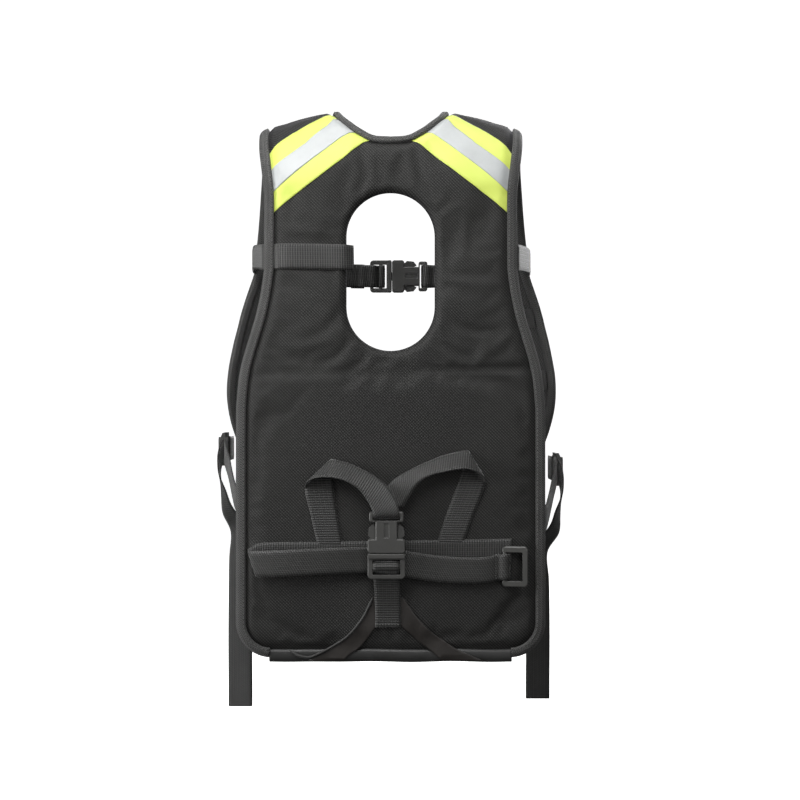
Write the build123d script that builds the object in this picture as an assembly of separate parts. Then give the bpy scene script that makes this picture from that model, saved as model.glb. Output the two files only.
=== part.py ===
from build123d import *
import math
import os

# Padded carrying vest of a breathing apparatus, hanging as it is worn, in millimetres.
# +X is the wearer's right, +Y is the way the wearer faces and +Z is up.
# Outlines are drawn as (x, h), where h is the height above the back panel's bottom edge.
# The origin is the nape: the middle of the neckline, on the face that rests on the wearer.

NAPE_H = 510.0                 # height of the neckline above the panel's bottom edge
PANEL_HALF = 151.0             # half width of the lower back panel
PANEL_CORNER = 35.0            # radius of its bottom corners
CHEST_HALF = 123.5             # half width between the armholes
COVER = (14.4, 16.0)           # layers of the back panel, measured out from the wearer
FOAM = (3.3, 14.3)
STIFFENER = (1.8, 3.2)
LINING = (0.0, 1.6)
BINDING = (0.2, 17.4)
TAPE = (16.1, 16.9)
SILVER = (17.0, 17.6)
EDGE = 10.0                    # width of the edge binding
NECK_EDGE = 7.5                # width of the neck binding
FIT = 0.2                      # gap between neighbouring fabric pieces
FOLD_H = 278.0                 # seam between the lower and the upper foam

SHOULDER_R = 60.0              # radius of the wearer's shoulder, front to back
SHOULDER_H = 482.0             # where the shoulder arch starts, at the middle of the back
SHOULDER_FALL = 0.26           # how much the shoulder falls per millimetre outwards
SHOULDER_REACH = 150.0
ARCH_DEG = 57.0                # how far the arch goes on past its crest before it runs straight

HOLE_W, HOLE_LONG, HOLE_H = 86.0, 154.0, 376.0     # oval opening in the back

CHEST_Y = 60.0                 # centre of the front panels' curve, seen from above
CHEST_A, CHEST_B = 185.0, 128.0
SIDE_Y = 92.0                  # the front panels' side edges stand this far in front of the back
FRONT_T = 8.0
FRONT_TOP = 410.0
FRONT_EDGE = 9.0

WEB = 25.0                     # width of all the webbing
WEB_T = 1.6
BAND_H = 390.0                 # height of the chest strap, side bands and stow band
CHEST_STRAP_Y = 190.0

BUCKLE_W, BUCKLE_T, PLATE_T = 36.0, 11.0, 2.5
PRONG_ROOT = (1.9, 12.8)       # pivot of a prong, along and across the buckle
HOLDER_AT = (-3.8, 104.3)      # parting line of the holder buckle
HOLDER_Y = -34.0

SLIDER_H = {"left": 200.0, "right": 179.0}
SLIDER_X = {"left": 173.5, "right": 172.5}
SLIDER_LONG, SLIDER_TALL = 28.0, 34.0
SLIDER_BAR_Y = 98.0
TAIL_X = {"left": 158.0, "right": 153.5}
TAIL_END = {"left": -70.0, "right": -62.0}
TAIL_Y = 88.0

WAIST_BACK_H = 100.7
RING_BAR = (110.5, -23.0)      # the ring's held bar, x and y
RING_H, RING_TALL, RING_WIDE, RING_TURN = 90.5, 39.0, 25.0, 12.0
BOTTOM_HALF = 118.0


def prism(outline, y_low, y_high):
    """Extrudes an (x, h) outline through a range of depth."""
    return Pos(0, y_high, 0) * extrude(Plane.XZ * outline, y_high - y_low)


def layer(outline, depths):
    """One flat layer of the back panel."""
    return prism(outline, -depths[1], -depths[0])


def outline_of(*edges):
    return make_face(Wire(list(edges)))


def polygon(*points):
    return make_face(Polyline(*points, close=True))


def wide(x_low, x_high, h_low, h_high):
    """A rectangle between two widths and two heights."""
    return Pos((x_low + x_high) / 2, (h_low + h_high) / 2) * Rectangle(x_high - x_low, h_high - h_low)


def on_side(solid, side):
    """Right-hand pieces are drawn; left-hand ones are their mirror images."""
    return solid if side == "right" else mirror(solid, about=Plane.YZ)


def save(node, *solids):
    """Moves a piece from drawing heights to the nape and writes it."""
    placed = [Pos(0, 0, -NAPE_H) * solid for group in solids for solid in group.solids()]
    export_step(placed[0] if len(placed) == 1 else Compound(placed), f"parts/{node}.step")


# ---- outlines ----

def pushed(points, distance):
    """Moves each point of a line to its left, square to the line through its neighbours."""
    found = []
    for i, point in enumerate(points):
        before, after = Vector(*points[max(i - 1, 0)]), Vector(*points[min(i + 1, len(points) - 1)])
        away = (after - before).normalized().rotate(Axis.Z, 90) * distance
        found.append((point[0] + away.X, point[1] + away.Y))
    return found


def back_outline(inset=0.0):
    """The back panel below its shoulders: flat sides, waisted armholes and a sloping top."""
    half, low, corner = PANEL_HALF - inset, inset, PANEL_CORNER - inset
    chest, top = CHEST_HALF - inset, SHOULDER_H - SHOULDER_FALL * (CHEST_HALF - inset)
    armhole = [(half, 235), *pushed([(146, 284), (131, 336)], inset), (chest, 395)]
    right = [
        Line((0, low), (half - corner, low)),
        RadiusArc((half - corner, low), (half, low + corner), -corner),
        Line((half, low + corner), (half, 235)),
        Spline(*armhole, tangents=[(0, 1), (0, 1)]),
        Line((chest, 395), (chest, top)),
        Line((chest, top), (0, SHOULDER_H)),
        Line((0, SHOULDER_H), (0, low)),
    ]
    side = outline_of(*right)
    return side + mirror(side, about=Plane.YZ)


def neck_hole(margin=0.0):
    """The space above the neckline, or with a margin the space above its binding."""
    side = [(15, 511.3), (25.2, 516.7), (36.5, 526), (47.4, 538), (52, 550)]
    line = pushed([(-x, h) for x, h in reversed(side)] + [(0, NAPE_H)] + side, -margin)
    reach = 54 + margin
    top = Polyline(line[-1], (reach, 640), (-reach, 640), line[0])
    return make_face(Wire([Spline(*line), *top.edges()]))


def oval(margin=0.0):
    return Pos(0, HOLE_H) * SlotOverall(HOLE_LONG + 2 * margin, HOLE_W + 2 * margin, rotation=90)


def shoulder_back_outline(inset=0.0):
    """Half of the shoulders from behind, flaring out towards their crest."""
    flare = [(0, 452), (3, 478), (7, 505), (11, 530), (11, 640)]
    edge = [(CHEST_HALF + out - inset, h) for out, h in flare]
    return polygon((0, 400), (CHEST_HALF - inset, 400), *edge, (0, 640))


def shoulder_front_outline():
    """The strap from the shoulder's crest down to the front panel."""
    return polygon(
        (53, 640), (53, 560), (55, FRONT_TOP + 1), (149, FRONT_TOP + 1), (145, 440), (141, 472), (137, 505), (135, 640)
    )


def front_outline(inset=0.0):
    """One front panel seen from the front."""
    top = FRONT_TOP - FIT
    edge = [(149, FRONT_TOP), (153.5, 385), (166, 335), (177, 260), (165, 205), (143, 168), (112, 152)]
    edge += [(80, 150), (64, 157), (56, 175), (55, FRONT_TOP)]
    line = pushed(edge, -inset)
    line[0] = (line[0][0], top)
    line[-1] = (line[-1][0], top)
    return make_face(Wire([Spline(*line[:7]), *Polyline(*line[6:], line[0]).edges()]))


# ---- curved shells ----

def arch_back(depths, run=0.0):
    """Layer of the shoulder from the back up to its crest, over a flat run below the arch."""
    low, high = depths
    centre = (SHOULDER_R, SHOULDER_H)
    sector = outline_of(
        CenterArc(centre, SHOULDER_R + high, 90, 90),
        Line((-high, SHOULDER_H), (-low, SHOULDER_H)),
        CenterArc(centre, SHOULDER_R + low, 90, 90),
        Line((SHOULDER_R, SHOULDER_H + SHOULDER_R + low), (SHOULDER_R, SHOULDER_H + SHOULDER_R + high)),
    )
    if run:
        sector += wide(-high, -low, SHOULDER_H - run, SHOULDER_H)
    return slanted(sector)


def arch_front(depths, run=150.0):
    """Layer of the shoulder from its crest down the chest, ending in a straight run."""
    low, high = depths
    start = 90 - ARCH_DEG
    turn = math.radians(start)
    centre = Vector(SHOULDER_R, SHOULDER_H)
    down = Vector(math.sin(turn), -math.cos(turn)) * run
    ends = [centre + Vector(math.cos(turn), math.sin(turn)) * (SHOULDER_R + r) for r in depths]
    sector = outline_of(
        CenterArc(centre, SHOULDER_R + high, start, ARCH_DEG),
        Line((SHOULDER_R, SHOULDER_H + SHOULDER_R + high), (SHOULDER_R, SHOULDER_H + SHOULDER_R + low)),
        CenterArc(centre, SHOULDER_R + low, start, ARCH_DEG),
        Line(ends[0], ends[0] + down),
        Line(ends[0] + down, ends[1] + down),
        Line(ends[1] + down, ends[1]),
    )
    return slanted(sector)


def slanted(section):
    """Carries a side-view section outwards from the middle, falling with the shoulder."""
    way = Vector(1, 0, -SHOULDER_FALL)
    return extrude(Plane.YZ * section, SHOULDER_REACH * way.length, dir=way.normalized())


def chest_shell(low, high, h_low, h_high):
    """Half-round shell in front of the chest, between two distances out from the panels' face."""
    ring = Ellipse(CHEST_A + high, CHEST_B + high) - Ellipse(CHEST_A + low, CHEST_B + low)
    ring &= Pos(0, CHEST_B) * Rectangle(4 * CHEST_A, 2 * CHEST_B)
    return Pos(0, CHEST_Y, h_low) * extrude(ring, h_high - h_low)


# ---- back panel ----

def back_panel():
    neck_zone = neck_hole(NECK_EDGE + FIT)
    whole = back_outline()
    inside = back_outline(EDGE + FIT) - neck_zone
    lined = inside - oval()
    padded = inside - oval(1.0)
    save("back_cover", layer(lined, COVER))
    save("back_lining", layer(lined, LINING))
    save("lower_foam_pad", layer(padded & wide(-200, 200, 0, FOLD_H - 1), FOAM))
    save("upper_foam_pad", layer(padded & wide(-200, 200, FOLD_H + 1, 600), FOAM))
    save("stiffener_sheet", layer(inside & wide(-200, 200, 0, FOLD_H - 8), STIFFENER))
    rim = whole - back_outline(EDGE)
    rim -= wide(-BOTTOM_HALF, BOTTOM_HALF, -1, 30)
    for side, x_low, x_high in (("left", -200, -100), ("right", 100, 200)):
        edge = rim & wide(x_low, x_high, -1, 600)
        save(f"back_binding_{side}", layer(edge, BINDING))
    strip = wide(-BOTTOM_HALF + FIT, BOTTOM_HALF - FIT, -2, EDGE - FIT)
    save("bottom_strip", layer(strip, BINDING))


def shoulders():
    neck_zone = neck_hole(NECK_EDGE + FIT)
    inner = shoulder_back_outline(EDGE + FIT) - neck_zone
    edging = shoulder_back_outline() - shoulder_back_outline(EDGE)
    strip = polygon((16, 508), (130, 420), (130, 485), (120, 492), (53, 538), (30, 552)) & inner
    silver = polygon((20, 528), (130, 441), (130, 465), (20, 556)) & strip
    for side in ("left", "right"):
        body = on_side(arch_back(COVER) & prism(inner, -30, 200), side)
        save(f"shoulder_cover_{side}", body)
        pad = on_side(arch_back(FOAM) & prism(inner, -30, 200), side)
        save(f"shoulder_foam_{side}", pad)
        lining = on_side(arch_back(LINING) & prism(inner, -30, 200), side)
        save(f"shoulder_lining_{side}", lining)
        edge = on_side(arch_back(BINDING) & prism(edging, -30, 200), side)
        save(f"armhole_binding_{side}", edge)
        tape = on_side(arch_back(TAPE, 60) & prism(strip, -30, SHOULDER_R), side)
        save(f"hivis_tape_{side}", tape)
        middle = on_side(arch_back(SILVER, 60) & prism(silver, -30, SHOULDER_R), side)
        save(f"silver_tape_{side}", middle)
        front = prism(shoulder_front_outline(), SHOULDER_R + FIT, 220)
        strap = on_side(arch_front((1.0, 12.0)) & front, side)
        save(f"front_strap_{side}", strap)
    rim = neck_hole(NECK_EDGE) - neck_hole()
    half = arch_back(BINDING) & prism(rim, -30, SHOULDER_R)
    save("neck_binding", half, on_side(half, "left"))


# ---- front ----

def front():
    inner = front_outline(FRONT_EDGE + FIT)
    rim = front_outline() - front_outline(FRONT_EDGE)
    for side in ("left", "right"):
        shell = chest_shell(-FRONT_T, 0, 140, FRONT_TOP)
        save(f"front_panel_{side}", on_side(shell & prism(inner, SIDE_Y, 260), side))
        proud = chest_shell(-FRONT_T - 0.5, 0.4, 140, FRONT_TOP)
        save(f"front_binding_{side}", on_side(proud & prism(rim, SIDE_Y, 260), side))


def chest_straps():
    low, high = BAND_H - WEB / 2, BAND_H + WEB / 2
    run = chest_shell(0.8, 0.8 + WEB_T, low, high)
    ends = {"left": 28.0, "right": 46.0}
    for side, near in ends.items():
        save(f"chest_strap_{side}", on_side(run & prism(wide(near, 150, 0, 600), 60, 260), side))
    keeper = chest_shell(3.0, 5.0, low - 1, high + 1) & prism(wide(-46, -31, 0, 600), 60, 260)
    save("chest_keeper", keeper)


# ---- buckles, drawn with the strap along X, the socket towards +X and the parting line at 0 ----

def buckle_socket():
    mouth = Pos(7.1, 0) * RectangleRounded(13.8, BUCKLE_W, 3)
    neck = wide(10, 32, -10.5, 10.5)
    head = Pos(35, 0) * RectangleRounded(10, BUCKLE_W - 3, 2.5)
    shape = mouth + neck + head
    inner_t = BUCKLE_T / 2 - PLATE_T
    front = prism(shape, -BUCKLE_T / 2, -inner_t)
    back = prism(shape, inner_t, BUCKLE_T / 2)
    front = chamfer(front.faces().sort_by(Axis.Y)[0].edges(), 0.9)
    back = chamfer(back.faces().sort_by(Axis.Y)[-1].edges(), 0.9)
    core = prism(wide(14.5, 40, -7, 7) + head, -inner_t, inner_t)
    slot = prism(wide(31.5, 36, -13.4, 13.4), -BUCKLE_T, BUCKLE_T)
    groove = prism(wide(15, 29, -2.5, 2.5), -BUCKLE_T / 2, -BUCKLE_T / 2 + 0.8)
    return front + core + back - slot - groove


def buckle_plug():
    base = prism(Pos(-2.6, 0) * RectangleRounded(5, BUCKLE_W, 2), -BUCKLE_T / 2, BUCKLE_T / 2)
    base = chamfer(base.edges().filter_by(GeomType.LINE).filter_by(Axis.Z), 0.8)
    frame = prism(Pos(-12.5, 0) * RectangleRounded(24, BUCKLE_W, 4), -3, 3)
    frame = chamfer(frame.faces().sort_by(Axis.Y)[0].edges(), 0.8)
    tongue = prism(wide(-1, 12, -4.5, 4.5), -2.4, 2.4)
    slots = prism(wide(-10.5, -6, -13.4, 13.4) + wide(-20.5, -14.5, -13.4, 13.4), -9, 9)
    return base + frame + tongue - slots


def prong(hand):
    """Spring arm with its squeeze wing; hand is +1 for the upper one and -1 for the lower one."""
    along, across = PRONG_ROOT
    arm = polygon(
        (along, across - 1.5), (14, 10.9), (25, 10.9), (28, 12.4), (24.5, 16.6), (17, 17.4), (15, 15.2),
        (along, across + 1.5)
    )
    shape = arm + Pos(along, across) * Circle(1.5)
    solid = prism(shape, -2.6, 2.6)
    return solid if hand > 0 else mirror(solid, about=Plane.XY)


def chest_buckle():
    place = Pos(0, CHEST_STRAP_Y, BAND_H)
    save("chest_socket", place * buckle_socket())
    save("chest_plug", place * buckle_plug())
    save("chest_prong_upper", place * prong(1))
    save("chest_prong_lower", place * prong(-1))


def holder_buckle():
    place = Pos(HOLDER_AT[0], HOLDER_Y, HOLDER_AT[1]) * Rot(0, -90, 0)
    save("holder_socket", place * buckle_socket())
    save("holder_plug", place * buckle_plug())
    save("holder_prong_left", place * prong(1))
    save("holder_prong_right", place * prong(-1))


# ---- webbing of the lower back ----

def webbing_run(start, end, width=WEB):
    """Outline of a straight run of webbing between two (x, h) points, seen from behind."""
    a, b = Vector(*start), Vector(*end)
    side = (b - a).normalized().rotate(Axis.Z, 90) * (width / 2)
    return polygon(a + side, b + side, b - side, a - side)


def holder_straps():
    back_y = (-18.4, -16.8)
    waist_top = 115.5
    for side, foot, top, front_y in (
        ("left", (-60, 119), (-71, 170), (-33.0, -31.4)),
        ("right", (58, 119), (76, 172), (-30.8, -29.2)),
    ):
        hand = -1 if side == "left" else 1
        leg = prism(webbing_run(foot, top) & wide(-200, 200, waist_top, 400), *back_y)
        tip = (top[0] - hand * 4, top[1] + 8)
        over = prism(webbing_run(tip, (hand * 13, 157)), *front_y)
        turn = prism(webbing_run((top[0], top[1] - 6), (tip[0], tip[1] + 6)) & webbing_run(tip, (0, 150), 34),
                     front_y[0], back_y[1])
        save(f"holder_strap_{side}", leg + over + turn)
    x = HOLDER_AT[0] + 1.4
    fall = Pos(x, 0, 0) * Plane.YZ * polygon((-32.0, 79.0), (-30.4, 79.0), (-18.0, 36.0), (-19.6, 36.0))
    save("holder_webbing", extrude(fall, WEB / 2, both=True))


def yoke():
    arm = [
        ThreePointArc((12, 60), (34, 34), (89, EDGE)),
        Line((89, EDGE), (43, EDGE)),
        ThreePointArc((43, EDGE), (22, 22), (0, 30)),
        Line((0, 30), (0, 60)),
        Line((0, 60), (12, 60)),
    ]
    half = outline_of(*arm)
    sheet = half + mirror(half, about=Plane.YZ)
    save("yoke", prism(Pos(-2.5, 0) * sheet, -17.3, -16.3))


def waist_strap():
    back = wide(-131, 117, WAIST_BACK_H - WEB / 2, WAIST_BACK_H + WEB / 2)
    save("waist_strap_back", prism(back, -18.2, -16.6))
    left = prism(webbing_run((-131.5, 94), (8, 96)), -25.2, -23.6)
    centre = Pos(-131.5, -20.9)
    fold = centre * (Circle(4.3) - Circle(2.7)) & Pos(-136.5, -20.9) * Rectangle(10, 12)
    turn = Pos(0, 0, 94 - WEB / 2) * extrude(fold, WEB)
    right = prism(webbing_run((8, 95), (RING_BAR[0] - 0.5, RING_H)), -27.4, -25.8)
    step = prism(wide(4, 10, 84, 106), -27.4, -23.6)
    eye = Pos(*RING_BAR) * (Circle(4.4) - Circle(2.8)) & Pos(RING_BAR[0] + 5, RING_BAR[1]) * Rectangle(10, 12)
    loop = Pos(0, 0, RING_H - WEB / 2) * extrude(eye, WEB)
    tuck = prism(webbing_run((88, RING_H), (RING_BAR[0], RING_H)), -20.2, -18.6)
    save("waist_strap_front", left + step + right, turn, loop, tuck)


def waist_ring():
    frame = Pos(RING_WIDE / 2 - 2.5, 0) * RectangleRounded(RING_WIDE, RING_TALL, 4)
    window = Pos(RING_WIDE / 2 - 2.5, 0) * RectangleRounded(RING_WIDE - 10, RING_TALL - 11, 1)
    ring = prism(frame, -3, 3)
    ring = chamfer(ring.faces().sort_by(Axis.Y)[0].edges(), 1.0)
    ring -= prism(window + wide(-3, 2.6, -RING_TALL / 2 + 5.5, RING_TALL / 2 - 5.5), -4, 4)
    bar = Pos(0, 0, -RING_TALL / 2 + 3) * extrude(Circle(2.4), RING_TALL - 6)
    place = Pos(RING_BAR[0], RING_BAR[1], RING_H) * Rot(0, 0, -RING_TURN)
    save("waist_ring", place * (ring + bar))


# ---- sides ----

def sides():
    low, high = BAND_H - WEB / 2, BAND_H + WEB / 2
    start, end = Vector(CHEST_HALF + 1.5, -8), Vector(149.5, 118)
    across = (end - start).normalized().rotate(Axis.Z, 90) * (WEB_T / 2)
    band = Pos(0, 0, low) * extrude(polygon(start + across, end + across, end - across, start - across), high - low)
    for side in ("left", "right"):
        save(f"side_band_{side}", on_side(band, side))
        h, x = SLIDER_H[side], SLIDER_X[side]
        save(f"slider_{side}", on_side(slider(x, h), side))
        eye = Pos(x, SLIDER_BAR_Y) * (Circle(4.2) - Circle(2.6) & Pos(0, -5) * Rectangle(10, 10))
        legs = Pos(x, SLIDER_BAR_Y + 4) * (Rectangle(8.4, 8) - Rectangle(5.2, 8))
        loop = Pos(0, 0, h - WEB / 2) * extrude(eye + legs, WEB)
        save(f"slider_loop_{side}", on_side(loop, side))
        foot = Plane.XZ.offset(4) * Pos(PANEL_HALF + 1.4, h - 45) * Rectangle(WEB_T, WEB)
        tip = Plane.XZ.offset(-(SLIDER_BAR_Y - SLIDER_LONG - 1)) * Pos(x, h) * Rectangle(WEB_T, WEB)
        save(f"side_strap_{side}", on_side(loft([foot, tip]), side))
        strip = wide(TAIL_X[side] - WEB / 2, TAIL_X[side] + WEB / 2, TAIL_END[side], h - 24)
        save(f"strap_tail_{side}", on_side(prism(strip, TAIL_Y - WEB_T, TAIL_Y), side))
    flap = wide(-CHEST_HALF + EDGE + 1.2, -36, low, high)
    save("stow_band", prism(flap, -18.2, -16.6))


def slider(x, h):
    """Ladder-lock: a bowed plate with two slots, and a round bar that the loop holds."""
    rise, chord = 4.0, SLIDER_TALL
    bow = outline_of(
        Line((-2, -chord / 2), (-2, chord / 2)),
        Line((-2, chord / 2), (1.2, chord / 2)),
        ThreePointArc((1.2, chord / 2), (1.2 + rise, 0), (1.2, -chord / 2)),
        Line((1.2, -chord / 2), (-2, -chord / 2)),
    )
    plate = Pos(0, SLIDER_BAR_Y - 6.5, 0) * extrude(Plane.XZ * bow, SLIDER_LONG - 6.5)
    slots = Pos(0, SLIDER_BAR_Y - 12) * Rectangle(20, 4.6) + Pos(0, SLIDER_BAR_Y - 21) * Rectangle(20, 4.6)
    plate -= Pos(0, 0, -13.2) * extrude(slots, 26.4)
    bar = Pos(0, SLIDER_BAR_Y, -chord / 2) * extrude(Circle(2.2), chord)
    rail = Pos(-0.4, SLIDER_BAR_Y - 4.6, 0) * Box(3.2, 9.4, 3.6)
    rails = [Pos(0, 0, hand * (chord / 2 - 1.8)) * rail for hand in (-1, 1)]
    return Pos(x, 0, h) * (plate + bar + rails[0] + rails[1])


os.makedirs("parts", exist_ok=True)
back_panel()
shoulders()
front()
chest_straps()
chest_buckle()
holder_buckle()
holder_straps()
yoke()
waist_strap()
waist_ring()
sides()
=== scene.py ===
import math

import bpy
import numpy as np
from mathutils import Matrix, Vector, noise
from mathutils.bvhtree import BVHTree
from mathutils.geometry import delaunay_2d_cdt


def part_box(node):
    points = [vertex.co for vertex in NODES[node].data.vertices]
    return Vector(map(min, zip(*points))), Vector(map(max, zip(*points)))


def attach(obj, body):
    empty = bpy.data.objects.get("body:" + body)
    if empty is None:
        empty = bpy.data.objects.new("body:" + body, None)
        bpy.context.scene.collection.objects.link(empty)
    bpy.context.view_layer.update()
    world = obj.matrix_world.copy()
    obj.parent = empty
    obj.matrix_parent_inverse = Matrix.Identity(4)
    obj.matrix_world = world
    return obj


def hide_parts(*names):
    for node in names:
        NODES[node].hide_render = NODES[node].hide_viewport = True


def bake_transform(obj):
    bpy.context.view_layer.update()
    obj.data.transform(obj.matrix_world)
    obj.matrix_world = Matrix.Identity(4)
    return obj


# A padded carrying vest, hanging as it is worn. The frame gives its pieces, and this script dresses them.
# Drawing units are millimetres. Heights h are measured up from the back panel's bottom edge.
# On the vest's body, s runs up the back and on over the shoulder, and t is how far out a point lies.

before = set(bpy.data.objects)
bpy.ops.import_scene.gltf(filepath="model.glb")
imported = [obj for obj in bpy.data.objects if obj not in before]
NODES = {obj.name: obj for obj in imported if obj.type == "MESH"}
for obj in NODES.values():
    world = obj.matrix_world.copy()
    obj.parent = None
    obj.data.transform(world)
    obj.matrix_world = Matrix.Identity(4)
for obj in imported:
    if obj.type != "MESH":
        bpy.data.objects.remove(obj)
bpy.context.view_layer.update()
MM = 0.001
STRIP_DROP = 2.0                                   # the bottom strip reaches this far below h = 0
PANEL_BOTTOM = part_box("bottom_strip")[0].z / MM + STRIP_DROP

PANEL_HALF, PANEL_CORNER = 151.0, 35.0
EDGE, NECK_EDGE = 10.0, 8.4
FOLD_H = 278.0                                     # seam between the two foam pads
HOLE_W, HOLE_LONG, HOLE_H = 86.0, 154.0, 376.0
SHOULDER_R, SHOULDER_H, SHOULDER_FALL = 60.0, 482.0, 0.26
SKIN = 16.0                                        # t of the vest's face, where s is measured
ARCH = SHOULDER_R + SKIN
ARCH_END = math.radians(147)
FRONT_TOP, FRONT_EDGE, LEAN_FROM = 410.0, 9.0, 320.0
CHEST_Y, CHEST_A, CHEST_B = 60.0, 185.0, 128.0
CHEST_ROUND = 155.0                                # mean radius of the front panels' curve
STRAP_MID, PANEL_MID = 8.0, 4.0                    # t of a front strap's middle; depth of a panel's middle
STRAP_FROM, STRAP_FADE = 560.0, 60.0               # over this span of s the body thins to a front strap
WEB, WEB_T = 25.0, 1.6
BAND_H = 390.0
BUCKLE_AT = (-3.8, -34.0, 104.3)                   # parting line of the holder buckle
RING_AT = (110.5, -23.0, 90.0)                     # the waist ring's held bar
SLIDER_AT = {-1: (173.5, 98.0, 200.0), 1: (172.5, 98.0, 179.0)}
TAIL_X, TAIL_END = {-1: 158.0, 1: 153.5}, {-1: -70.0, 1: -62.0}
SIDES = {"left": -1, "right": 1}
ROOM, FLOOR_H = 9000.0, -150.0
CLOTH_FRAMES = 20
SEWN = range(-11, 12)                              # places across a strap for a row of stitches


def at(x, y, h):
    """A drawing point as a place in the frame, in metres."""
    return Vector((x, y, h + PANEL_BOTTOM)) * MM


# ---- camera, light and floor ----

def set_the_stage():
    camera = bpy.data.objects.new("camera", bpy.data.cameras.new("camera"))
    bpy.context.scene.collection.objects.link(camera)
    camera.location = at(9.2, -1306, 251)
    camera.rotation_euler = (math.radians(90), 0, 0)
    camera.data.lens = 59.8
    camera.data.sensor_width = 36
    camera.data.clip_end = 50
    bpy.context.scene.camera = camera
    bpy.context.scene.view_settings.view_transform = "Standard"

    for name, place, size, power in (
        ("key", (-200, -640, 880), 0.6, 7.8),
        ("side", (-1400, -480, 300), 0.7, 20),
        ("fill", (640, -1250, 420), 0.9, 4),
        ("top", (60, -150, 1350), 0.9, 7),
        ("far_side", (500, 1500, 900), 1.4, 22),
    ):
        lamp = bpy.data.lights.new(name, "AREA")
        lamp.energy, lamp.size = power, size
        light = bpy.data.objects.new(name, lamp)
        bpy.context.scene.collection.objects.link(light)
        light.location = at(*place)
        aim = at(0, 0, 260) - light.location
        light.rotation_euler = aim.to_track_quat("-Z", "Y").to_euler()

    world = bpy.data.worlds.new("studio")
    bpy.context.scene.world = world
    world.use_nodes = True
    sky = world.node_tree.nodes["Background"]
    sky.inputs["Color"].default_value = (1.0, 1.0, 1.0, 1)
    sky.inputs["Strength"].default_value = 0.11

    look = Look("pale_floor")
    look.colour(look.noise(3.0), (0.80, 0.80, 0.79), (0.84, 0.84, 0.83))
    look.set(Roughness=0.6, Emission_Color=(1, 1, 1, 1), Emission_Strength=1.0)
    corners = [(-ROOM, -ROOM), (ROOM, -ROOM), (ROOM, ROOM), (-ROOM, ROOM)]
    floor = plain_mesh("floor", [at(x, y, FLOOR_H) for x, y in corners], [(0, 1, 2, 3)])
    floor.data.materials.append(look.material)

    look = Look("white_backdrop")
    look.colour(look.noise(1.0), (0.9, 0.9, 0.9), (0.92, 0.92, 0.92))
    look.set(Emission_Color=(1, 1, 1, 1), Emission_Strength=1.0)
    count = 48
    turns = [2 * math.pi * k / count for k in range(count)]
    ring = [(ROOM * math.cos(a), ROOM * math.sin(a)) for a in turns]
    walls = [at(x, y, h) for h in (-ROOM, ROOM) for x, y in ring]
    faces = [(k, (k + 1) % count, (k + 1) % count + count, k + count) for k in range(count)]
    backdrop = plain_mesh("backdrop", walls, faces + [tuple(range(count, 2 * count))])
    backdrop.data.materials.append(look.material)
    backdrop.visible_diffuse = backdrop.visible_glossy = backdrop.visible_shadow = False
    floor.visible_diffuse = floor.visible_glossy = False


# ---- materials ----

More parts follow.
